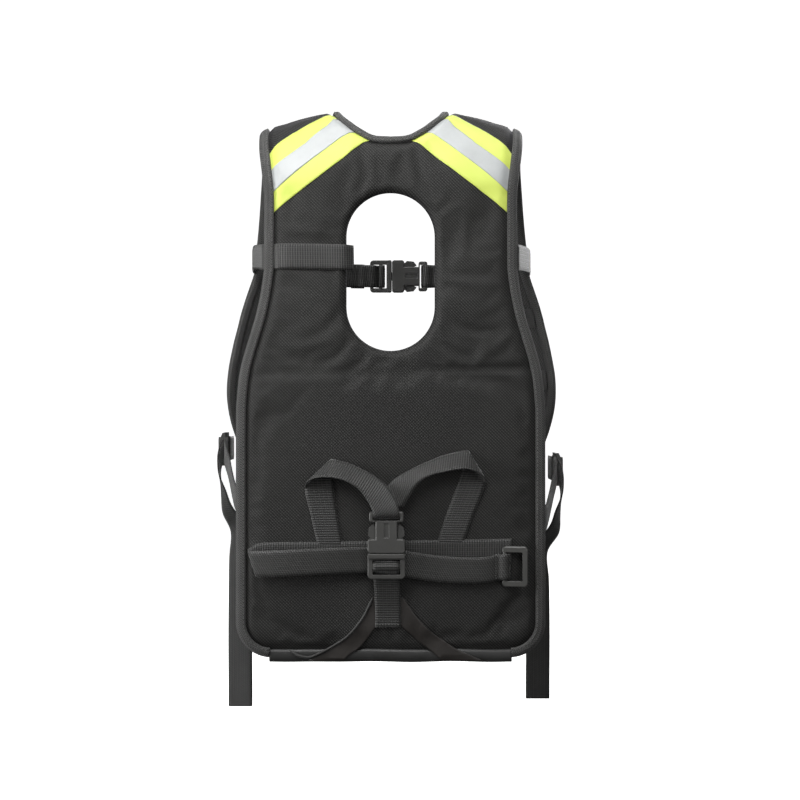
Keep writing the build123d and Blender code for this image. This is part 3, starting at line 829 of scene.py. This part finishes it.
def stitch_run(name, line, slot, material, pitch, long=2.7, thick=0.32, body="vest"):
    """A row of single stitches along a line of points in space."""
    points, faces = [], []
    line = [Vector(p) for p in line]
    travelled, due = 0.0, 0.0
    for a, b in zip(line, line[1:]):
        size = (b - a).length / MM
        if size < 1e-6:
            continue
        way = (b - a).normalized()
        side = way.cross(Vector((0, -1, 0)) if abs(way.y) < 0.9 else Vector((0, 0, 1))).normalized()
        up = side.cross(way).normalized()
        while due <= travelled + size:
            middle = a + way * ((due - travelled) * MM)
            faces += tube_faces(4, 6, len(points))
            for share, swell in ((-0.5, 0.35), (-0.3, 1.0), (0.3, 1.0), (0.5, 0.35)):
                for turn in range(6):
                    c, s = math.cos(turn * math.pi / 3), math.sin(turn * math.pi / 3)
                    round_it = (side * c + up * s) * (swell * thick * MM)
                    points.append(middle + way * (share * long * MM) + round_it)
            due += pitch
        travelled += size
    return dress(plain_mesh(name, points, faces), body, slot, material)


def sewn_across(name, middle, way, thread_look, pitch=2.4, long=1.8, body="vest"):
    """A row of stitches across a strap, through its middle."""
    line = [at(*(np.array(middle) + np.array(way) * d)) for d in SEWN]
    stitch_run(name, line, "webbing", thread_look, pitch, long=long, body=body)


def bottom_edge(material):
    """The coated strip folded round the panel's bottom edge, a little wavy where it is sewn."""
    wave = [(x, 0.7 * noise.noise(Vector((x / 40, 0, 9)))) for x in np.arange(-118, 119, 2.0)]
    line = [np.array((x, rise - 4.4)) for x, rise in wave]
    profile = [(13.2, 13.2), (13.0, 14.4), (10.5, 15.3), (6.0, 15.4), (2.4, 14.6), (0.6, 12.4), (0.0, 9.2),
               (0.4, 5.4), (2.4, 2.4), (6.0, 1.4), (10.4, 1.3), (12.8, 1.8), (13.2, 3.2)]
    made = bound_edge("bottom_edge_strip", line, profile, vest_point, material, ["bottom_strip"])
    return made


# ---- tapes ----

def laid_sheet(name, outline, level, thick, way, slot, material, nodes, hand=1):
    """A thin sheet laid on the padding: its outline in (x, s), and a level that gives its underside's t."""
    sheet = cut_sheet(outline, [], 4.0, (1.2,))
    verts, faces, _ = sheet
    under = np.array([level(hand * x, s) for x, s in verts])
    made = slab(name, sheet, vest_point, under + thick, under, hand)
    way = np.array(way) / math.hypot(*way)
    weave = verts @ np.array([way, (-way[1], way[0])]).T
    dress(made, "vest", slot, material, [*weave, *weave], nodes)
    flat_area(verts, faces)


def shoulder_tapes(skin, yellow, silver):
    """Fluorescent tape across each shoulder with a narrower silver one down its middle."""
    low_edge = [(19.6, 506.4), (30, 499), (47, 484.4), (66.8, 469.4), (96.5, 447), (114.2, 432.8)]
    high_edge = [(121, 493.5), (105.3, 509.4), (84.5, 527.4), (70, 541), (57.5, 553.5)]
    gold = [*low_edge, (115, 452.5), (118, 474.5), *high_edge, (50, 540.5), (35.6, 519)]
    bright = [(34.6, 516.6), (47.3, 508.4), (67, 491.4), (90.7, 472.8), (115, 452.5), (116, 462),
              (118, 474.5), (83.2, 501.8), (62.8, 524.4), (52.5, 543.5), (50, 540.5)]
    for side, hand in SIDES.items():
        for kind, points, lift, thick, slot, material, node in (
            ("yellow_tape", gold, 0.15, 0.7, "hivis", yellow, "hivis_tape"),
            ("silver_strip", bright, 0.9, 0.4, "silver", silver, "silver_tape"),
        ):
            laid_sheet(f"{kind}_{side}", divided(points), lambda x, s: skin.level(x, s) + lift, thick,
                       (114, -88), slot, material, [f"{node}_{side}"], hand)
        for number, row in enumerate((inset_line(low_edge, 1.7), inset_line(high_edge, 1.7))):
            row = smooth_line(row, 3.0)[1:-1]
            line = [vest_point(hand * x, s, skin.level(hand * x, s) + 0.95) for x, s in row]
            stitch_run(f"tape_stitches_{number}_{side}", line, "hivis", yellow, 3.0, long=2.0, thick=0.2)


def divided(points, step=4.0):
    """A closed outline with its sides divided, so that it can bend over the shoulder."""
    found = []
    for a, b in zip(np.array(points, float), np.array([*points[1:], points[0]], float)):
        count = max(1, round(math.dist(a, b) / step))
        found += [a + (b - a) * k / count for k in range(count)]
    return found


# ---- front panels ----

def front_point(w, h, out):
    """A point of the chest: w runs round it from the middle, out is measured from the panels' face."""
    turn = w / CHEST_ROUND
    x = (CHEST_A + out) * math.sin(turn)
    rise = min(1.0, max(0.0, (h - LEAN_FROM) / (FRONT_TOP - LEAN_FROM)))
    return at(x, CHEST_Y + (CHEST_B + out) * math.cos(turn) - lean(x) * rise**2, h)


def front_outline(step=3.0):
    """A front panel's outline in (w, h), from its outer top corner down, round and back across its top."""
    edge = [(149, FRONT_TOP), (153.5, 385), (166, 335), (176.5, 262), (167, 205), (143, 168), (112, 152),
            (80, 150), (64, 157), (56, 175), (55, 200)]
    line = [(CHEST_ROUND * math.asin(x / CHEST_A), h) for x, h in edge]
    (outer, _), (inner, low) = line[0], line[-1]
    side = [np.array((inner, h)) for h in np.arange(low + step, FRONT_TOP - step / 2, step)]
    top = [np.array((w, FRONT_TOP)) for w in np.arange(inner, outer - step / 2, step)]
    return smooth_line(line, step) + side + top


def panel_rows(stations, out):
    """Rows of a strap on the chest: each has the w and h of its two edges' points."""
    places = [[front_point(w, h, out) / MM for w, h in pair] for pair in stations]
    return [[(p.x, p.y, p.z - PANEL_BOTTOM) for p in pair] for pair in places]


def front_tabs(web):
    """Two short sewn tabs on the inside of the right front panel, beside its binding."""
    for name, low, high in (("front_tab_upper", 329, 349), ("front_tab_lower", 262, 283)):
        stations = []
        for h in np.linspace(low, high, 6):
            edge = next(w for w, near in front_outline() if w > 80 and abs(near - h) < 3)
            stations.append([(edge - inset, h) for inset in (17.5, 7.5)])
        ribbon(name, panel_rows(stations, -9.4), web, thick=2.2)


def front_panels(cover, binding, lining, thread_look):
    """The two padded panels on the chest, lined inside and bound all round."""
    loop = front_outline()[::-1]
    inner = inset_line([loop[-1], *loop, loop[0]], FRONT_EDGE - 1.8)[1:-1]
    sheet = cut_sheet(inner, [], 4.5, (1.2, 3.4, 6.4))
    verts = sheet[0]
    edge = gap_to(verts, inner)
    waves = np.array([noise.noise(Vector((v[0] / 45, v[1] / 45, 8.1))) for v in verts])
    face = -2.6 + 2.2 * eased(edge, 12) + 0.8 * waves * np.clip(edge / 16, 0, 1)
    back = -5.6 - 1.9 * eased(edge, 12)
    profile = [(9.3, -3.4), (9.0, -1.9), (7.6, -1.2), (4.6, -1.1), (1.8, -1.8), (0.3, -3.2), (0.0, -4.6),
               (0.3, -6.0), (1.8, -7.3), (4.6, -8.0), (7.6, -8.2), (9.0, -7.6), (9.3, -6.2)]
    for side, hand in SIDES.items():
        made = slab(f"front_padding_{side}", sheet, front_point, face, back, hand, flip=True)
        puff(made, np.concatenate([edge < 5, np.ones(len(verts), bool)]), most=2.0)
        dress(made, "vest", "cover", cover, [*verts, *verts], [f"front_panel_{side}"])
        made.data.materials.append(lining)
        inside = [int(min(p.vertices) >= len(verts)) for p in made.data.polygons]
        made.data.polygons.foreach_set("material_index", inside)
        tape = [*loop, *loop[:2]] if hand > 0 else mirrored([*loop, *loop[:2]])
        bound_edge(f"front_edge_binding_{side}", tape, profile, front_point, binding,
                   [f"front_binding_{side}"], flip=True)
        seam = [front_point(*p, -0.9) for p in inset_line(tape, 7.4)]
        stitch_run(f"front_stitches_{side}", seam, "binding", thread_look, STITCH_PITCH)


# ---- webbing ----

def ribbon(name, rows, material, nodes=(), body="vest", thick=WEB_T):
    """Flat webbing between two edges. Each row has the two edges' points at one place along it."""
    pairs = smooth_line([(*a, *b) for a, b in rows], 2.8)
    edges = [[at(*p[:3]) for p in pairs], [at(*p[3:]) for p in pairs]]
    runs = [np.cumsum([0, *((b - a).length for a, b in zip(line, line[1:]))]) / MM for line in edges]
    wide = min(WEB, max((b - a).length for a, b in zip(*edges)) / MM)
    columns = np.linspace(0, 1, 9)
    points, weave = [], []
    for i, (a, b) in enumerate(zip(*edges)):
        ahead, behind = min(i + 1, len(pairs) - 1), max(i - 1, 0)
        way = sum((line[ahead] - line[behind] for line in edges), Vector())
        normal = way.cross(b - a).normalized()
        for face, shares in ((1, columns), (-1, columns[::-1])):
            for share in shares:
                near = min(share, 1 - share) * wide
                half = thick / 2 * (0.55 + 0.45 * min(1.0, near / 0.9)) + (0.12 if 1.2 < near < 2.6 else 0)
                points.append(a.lerp(b, share) + normal * (face * half * MM))
                weave.append((runs[0][i] * (1 - share) + runs[1][i] * share, share * WEB))
    made = plain_mesh(name, points, tube_faces(len(pairs), 2 * len(columns), flip=True))
    return dress(made, body, "webbing", material, weave, nodes)


def upright(places):
    """Rows of a strap that stands on edge: its top edge first. Places are (x, y, h) of its middle line."""
    return [((x, y, h + WEB / 2), (x, y, h - WEB / 2)) for x, y, h in places]


def across(places):
    """Rows of a strap that hangs, its left edge first."""
    return [((x - WEB / 2, y, h), (x + WEB / 2, y, h)) for x, y, h in places]


def holder_straps(web, skin):
    """The two straps that rise from behind the waist strap, fold forward and meet at the buckle."""
    face = -skin.level(-60, 140) - 1.0
    left = [
        ((-68, 98, face), (-44, 98, face)), ((-71.6, 114.4, face), (-47.1, 114.4, face)),
        ((-77.5, 140, face), (-52, 142, face)), ((-82, 158, face - 0.6), (-56, 172, face)),
        ((-82.6, 166.5, -22), (-58.4, 190, -18.8)), ((-81.4, 170.6, -29.5), (-57.6, 193.6, -20.6)),
        ((-77, 174.6, -35), (-53.5, 193.6, -22.3)), ((-69, 177, -38.4), (-47.5, 192.2, -23.4)),
        ((-58.5, 177.4, -40), (-38.5, 189.4, -24.6)), ((-48, 175.8, -40.5), (-29, 185.2, -26.2)),
        ((-38.6, 172, -40.5), (-19.4, 180.2, -28.6)), ((-30.6, 166.5, -40.4), (-10, 174.3, -31.5)),
        ((-24.6, 159, -40.4), (-1.6, 166.4, -35)), ((-19.8, 151.4, -40.6), (4.6, 156.6, -38.4)),
        ((-17.2, 145.6, -41.0), (7.9, 147.4, -40.9)), ((-16.4, 141.2, -40.6), (8.6, 141.5, -40.6)),
        ((-16.3, 138.6, -37.8), (8.7, 138.6, -37.8)), ((-16.3, 138.0, -33.5), (8.7, 138.0, -33.5)),
        ((-16.3, 139.6, -28.6), (8.7, 139.6, -28.6)), ((-16.4, 144, -27.4), (8.6, 144, -27.4)),
        ((-17.4, 152, -28.5), (7.6, 152, -28.5)), ((-20, 161, -31), (4.6, 163.5, -29.5)),
    ]
    right = [
        ((66.5, 98, face), (41.5, 98, face)), ((72, 116.4, face), (46.6, 118, face)),
        ((80.6, 140, face), (56, 146, face)), ((88.4, 159, face - 0.4), (65.2, 170, face)),
        ((91.8, 169.5, -21), (72.6, 192, -18.6)), ((91.5, 173.6, -27.5), (75.2, 201, -19.8)),
        ((88.6, 177.6, -32.6), (73, 202.4, -21.2)), ((82, 182.6, -36.2), (66, 201.2, -22)),
        ((73, 185.4, -38.2), (57.4, 199.2, -22.6)), ((62.4, 184.6, -39), (47.6, 196.4, -23.6)),
        ((52, 182.6, -38.6), (37.6, 192.4, -24.6)), ((41, 180, -37), (26.6, 187.6, -25.8)),
        ((32, 175.6, -34.6), (16.8, 182.8, -26.6)), ((25.4, 169.4, -32.6), (7.4, 177.6, -27.6)),
        ((20.6, 162, -31.4), (-0.6, 171, -28.6)), ((16, 154.4, -31), (-7, 162.6, -29.2)),
        ((11.6, 148, -30.8), (-12.6, 153.6, -29.8)),
    ]
    for side, rows in (("left", left), ("right", right)):
        rows = [[(x, y, h) for x, h, y in pair] for pair in rows]
        ribbon(f"holder_bow_{side}", rows, web, [f"holder_strap_{side}"])


def holder_webbing(web, skin, thread_look):
    """The strap that comes up from the yoke, through the holder buckle's plug and back down behind."""
    x, y, h = BUCKLE_AT
    low = -skin.level(-2.4, 36) - 2.4
    rise = [(-2.4, low, 31.5), (-2.4, low - 0.1, 40), (-2.5, low - 1, 50), (-2.8, -25, 62), (-3.2, -28, 73),
            (x, -30.0, h - 24.5), (x, -30.3, h - 20.6)]
    bar = [(-0.2, -17.4), (-3.6, -15.0), (-4.2, -12.5), (-3.6, -10.0), (0, -8.2), (3.6, -9.6), (4.4, -14),
           (6.0, -22)]
    run = rise + [(x, y + dy, h + dh) for dy, dh in bar] + [(-3.4, -25.2, 72), (-3, -22.8, 66)]
    made = ribbon("holder_pull_strap", across(run), web, ["holder_webbing"], body=None)
    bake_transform(made)
    for number, height in enumerate((34.2, 37.4)):
        middle = (-2.4, low - 1.0, height)
        sewn_across(f"pull_strap_stitches_{number}", middle, (1, 0, 0), thread_look, 3.0, 2.0)


def waist_straps(web, skin, thread_look):
    """One strap across the small of the back, folded at the left and held by the ring at the right."""
    face = -skin.level(0, 100) - 0.9
    rx, ry, rh = RING_AT
    back = [(x, face, h) for x, h in ((117, 104.4), (60, 103.4), (0, 102.4), (-60, 101.4), (-112, 100.9))]
    fold = [((-127, face - 0.2, 112.4), (-119.5, face - 0.2, 87.2)),
            ((-134.6, face - 1.4, 109), (-126.6, face - 1.4, 84.2)),
            ((-137.6, -22.0, 106.8), (-129.8, -22.0, 81.6)), ((-136.4, -25, 105.8), (-128.8, -25, 80.6)),
            ((-128, -28.4, 106), (-121.6, -28.4, 80.8)), ((-111, -33, 107), (-106.6, -32, 81.6)),
            ((-90, -35, 108), (-88, -34, 82.8)), ((-52, -31.6, 109.2), (-51.4, -31, 84.2)),
            ((-20, -26.4, 109.6), (-20, -26.4, 84.6)), ((0, -26.2, 108.4), (-1.6, -26.2, 83.2)),
            ((22, -26.8, 104.6), (19, -26.8, 79.4)), ((52, -27.6, 100.8), (50, -27.6, 75.6)),
            ((82, -27.8, 99.6), (81.4, -27.8, 74.6)), ((97, -26.6, 100.8), (97, -26.6, 75.8)),
            ((103.4, -24.2, rh + 12), (103.4, -24.2, rh - 13))]
    eye = [(-3.2, -3.4), (0.4, -4.1), (3.6, -2.4), (4.3, 0.6), (2.6, 3.5), (-1.4, 3.9), (-8, 2.9),
           (-22, 2.8)]
    loop = [(rx + dx, ry + dy, rh) for dx, dy in eye]
    ribbon("waist_strap", upright(back) + fold + upright(loop), web,
           ["waist_strap_back", "waist_strap_front"])
    for number, x in enumerate((101.6, 99.2)):
        sewn_across(f"ring_stitches_{number}", (x, -26.5, rh + 0.4), (0, 0, 1), thread_look)
    for number, x in enumerate((112.6, 115.0)):
        sewn_across(f"waist_end_stitches_{number}", (x, face - 1.1, 104.4), (0, 0, 1), thread_look)


def stow_band(web, skin, thread_look):
    """The loose band beside the opening, sewn at its left end and lifting away from it."""
    places = [(-116, 390, 0.0), (-104, 390.2, 0.1), (-84, 390, 0.5), (-62, 389.8, 1.0), (-46, 389.6, 1.3),
              (-36, 389.4, 1.5)]
    rows = []
    for x, h, lift in places:
        y = -skin.level(x, h) - 1.0 - lift
        rows.append(((x - 0.4, y, h + 12.4), (x, y, h - 12.4)))
    ribbon("stow_strap", rows, web, ["stow_band"], body="stow_band")
    for number, x in enumerate((-110.4, -107.8)):
        middle = (x, -skin.level(x, 390) - 2.1, 390)
        sewn_across(f"stow_stitches_{number}", middle, (0, 0, 1), thread_look, body="stow_band")


def round_chest(hand, near, far, out=1.9, count=18):
    """Rows of the chest strap, between two distances from the middle, in front of the panels."""
    turns = np.linspace(*(math.asin(x / (CHEST_A + out)) for x in (near, far)), count + 1)
    places = [hand * CHEST_ROUND * turn for turn in turns]
    return panel_rows([[(w, BAND_H + WEB / 2), (w, BAND_H - WEB / 2)] for w in places], out)


def chest_straps(web):
    """The chest strap: fixed to the socket on the right, through the plug and doubled back on the left."""
    y = 190.0
    loop = [(44, 186.2), (40, 184.3), (35.6, 185.6), (33.6, y), (35.2, 195.4), (39, 196.6), (44, 194),
            (52, 189.4)]
    turn = [(-34, 185.0), (-27, 186.2), (-21, 186.4), (-17.6, y), (-15, 193.5), (-12.5, 194.1),
            (-10, 193.5), (-8.3, y), (-10, 186.4), (-14, 185.6)]
    loop, turn = (upright([(px, py, BAND_H) for px, py in line]) for line in (loop, turn))
    ribbon("chest_strap_socket_side", round_chest(1, 46, 149)[::-1] + loop, web, ["chest_strap_right"])
    rows = round_chest(-1, 40, 149)[::-1] + turn
    made = ribbon("chest_strap_plug_side", rows, web, ["chest_strap_left"], body=None)
    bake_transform(made)


def side_bands(web):
    """The chest strap's ends, from the back panel's edge round the wearer's sides to the front panels."""
    run = [(122.5, -12, 0), (125.5, -7, 0.05), (132, 26, 0.4), (139, 62, 0.75), (144.6, 94, 1),
           (148.8, 122, 1), (148, 144, 0.9)]
    for side, hand in SIDES.items():
        rise = 11 if hand < 0 else 8
        rows = upright([(hand * x, y, BAND_H + rise * share) for x, y, share in run])
        ribbon(f"side_band_strap_{side}", [row[::-hand] for row in rows], web, [f"side_band_{side}"])


def side_adjusters(web):
    """At each side: the loop that holds the ladder-lock, and the strap from the back panel into it."""
    for side, hand in SIDES.items():
        x, y, h = SLIDER_AT[hand]
        eye = [(-3.6, 26), (-3.4, 12), (-3.4, 2), (-2.4, -2.6), (0, -3.4), (2.4, -2.6), (3.4, 2),
               (3.2, 12), (0.4, 26)]
        rows = upright([(hand * (x + dx), y + dy, h) for dx, dy in eye])
        ribbon(f"slider_holding_loop_{side}", rows, web, [f"slider_loop_{side}"])
        rise = [(147.5, -7, -46), (152.0, -2, -44), (157, 14, -34), (164, 40, -17)]
        lock = [(-2.9, 60, -4), (-1.9, 70, 0), (-2.1, 80, 0), (-1.1, 86.5, 0), (2.7, 86.8, 0),
                (5.7, 83.5, 0), (5.7, 79.5, 0), (2.7, 76.6, 0), (0.1, 75.4, 0)]
        run = rise + [(x + dx, py, dh) for dx, py, dh in lock]
        rows = upright([(hand * px, py, h + dh) for px, py, dh in run])
        ribbon(f"side_adjusting_strap_{side}", rows, web, [f"side_strap_{side}"])


def hanging_tails(web):
    """At each side: the strap's free end, which turns over below the ladder-lock and then hangs."""
    for side, hand in SIDES.items():
        x, _, h = SLIDER_AT[hand]
        tail, end = TAIL_X[hand], TAIL_END[hand]
        turning = [
            ((-0.6, 78, 12), (-0.6, 78, -12.5)), ((0.8, 68, 10), (0.8, 71, -14)),
            ((3.0, 58, 2), (2.2, 70, -19)), ((4.2, 55, -9), (3.4, 73, -26)),
            ((3.2, 58, -24), (3.6, 79, -36)), ((-2.5, 67, -42), (4.4, 86, -50)),
            ((-9.5, 77, -62), (3.5, 91, -68)),
        ]
        rows = [[(hand * (x + dx), y, h + dh) for dx, y, dh in pair] for pair in turning]
        straight = [
            ((-13.5, 84, h - 86), (10.6, 90.5, h - 88)), ((-13, 86.5, h - 115), (12, 88.5, h - 115)),
            ((-12.5, 87.2, 40), (12.5, 87.2, 40)), ((-12.3, 87, 0), (12.7, 87, 0)),
            ((-12.5, 87.2, end + 20), (12.5, 87.2, end + 20)), ((-12.5, 87.4, end), (12.5, 87.4, end)),
        ]
        rows += [[(hand * (tail + dx), y, height) for dx, y, height in pair] for pair in straight]
        ribbon(f"hanging_tail_{side}", rows, web, [f"strap_tail_{side}"])


# ---- yoke ----

def yoke_level(skin, x, h):
    """The t that the yoke lies at: on the padding, and over the bottom strip."""
    return max(skin.level(x, max(h, 14)), 15.3)


def yoke(material, skin):
    """The coated yoke that the holder's strap is sewn to: two arms down and out to the bottom strip."""
    arms = {
        "left": (
            [(-16, 60), (-19.5, 51), (-27.3, 39.6), (-42.6, 21.6), (-58.9, 9.6), (-71.2, 2.6), (-80, -2)],
            [(-46, -2), (-39.5, 4.2), (-32, 9), (-25.9, 15.4), (-19, 24.6), (-14.6, 31)],
        ),
        "right": (
            [(11.1, 60), (13, 58.6), (23, 44.4), (37, 28.4), (52, 17.4), (64.4, 9.2), (76.8, 3.8),
             (90, -2)],
            [(49, -1), (42, 5.4), (31, 14.1), (21, 22.8), (12, 31)],
        ),
    }
    seam = [np.array((-2.4, 31)), np.array((-2.4, 60))]
    for side, (outer, under) in arms.items():
        hand = SIDES[side]
        outline = [*smooth_line(outer, 3.0), *smooth_line(under, 3.0), *seam]
        laid_sheet(f"yoke_arm_{side}", outline[::-hand], lambda x, s: yoke_level(skin, x, s) + 0.4, 1.0,
                   (hand * 78, -58), "coated", material, ["yoke"])


def yoke_piping(radius, material, skin):
    """A thin rolled cord of cloth along the yoke's left arm, fuzzy where it is worn; laid on the left arm
    only, in paler cloth, it is partly the arm's edge and partly painted highlight along that lit edge.
    """
    line = smooth_line([(-17.2, 60), (-27.3, 39.6), (-42.6, 21.6), (-58.9, 10.6), (-71.2, 4.6),
                        (-79.3, 1.8), (-89.6, 3.6), (-97.7, 8)], 1.2)
    points, around = [], 8
    out = Vector((0, -1, 0))
    for i, (x, h) in enumerate(line):
        ahead, behind = line[min(i + 1, len(line) - 1)], line[max(i - 1, 0)]
        way = (at(ahead[0], 0, ahead[1]) - at(behind[0], 0, behind[1])).normalized()
        side = way.cross(-out)
        centre = at(x, -yoke_level(skin, x, h) - 2.0 - 0.3 * math.sin(i / 9), h)
        taper = min(1, 0.35 + i / 8, 0.35 + (len(line) - 1 - i) / 8)
        for k in range(around):
            turn = 2 * math.pi * k / around
            rough = 1 + 0.22 * noise.noise(Vector((i / 1.8, k / 1.5, 2.2)))
            reach = radius * taper * rough * MM
            points.append(centre + (side * math.cos(turn) + out * math.sin(turn)) * reach)
    made = plain_mesh("yoke_piping", points, tube_faces(len(line), around))
    # Partly painted highlight: the cord's paler binding cloth marks the left arm's lit edge, and the right
    # arm has no cord.
    return dress(made, "vest", "coated", material)


# ---- everything ----

set_the_stage()
cover, web, binding, lining = cover_fabric(), webbing_fabric(), binding_fabric(), lining_fabric()
coat = coated_fabric("yoke_coating", (0.008, 0.0070, 0.0062), (0.030, 0.025, 0.022), 0.42)
strip_coat = coated_fabric("strip_coating", (0.009, 0.009, 0.009), (0.030, 0.030, 0.029), 0.4)
stitching = thread()

padding = body_padding(cover)
skin = Skin(padding)
body_lining(lining)
body_bindings(binding, stitching)
bottom_edge(strip_coat)
shoulder_tapes(skin, hivis_fabric(), silver_fabric())
front_panels(cover, binding, lining, stitching)
front_tabs(binding)
holder_straps(web, skin)
holder_webbing(web, skin, stitching)
waist_straps(web, skin, stitching)
stow_band(web, skin, stitching)
chest_straps(web)
side_bands(web)
side_adjusters(web)
hanging_tails(web)
yoke(coat, skin)
yoke_piping(1.25, binding, skin)

moulded = ["chest_socket", "chest_plug", "chest_prong_upper", "chest_prong_lower", "holder_socket",
           "holder_plug", "holder_prong_left", "holder_prong_right", "slider_left", "slider_right"]
for look, names in (
    (moulded_plastic("buckle_acetal", 0.036, 0.42), moulded),
    # Painted highlight: the ring's acetal gets a paler base tone than the buckles' (0.045 against 0.036),
    # standing in for the shine on the glossy ring.
    (moulded_plastic("ring_acetal", 0.045, 0.22), ["waist_ring"]),
    (strip_coat, ["chest_keeper"]),
):
    for name in names:
        NODES[name].data.materials.clear()
        NODES[name].data.materials.append(look)
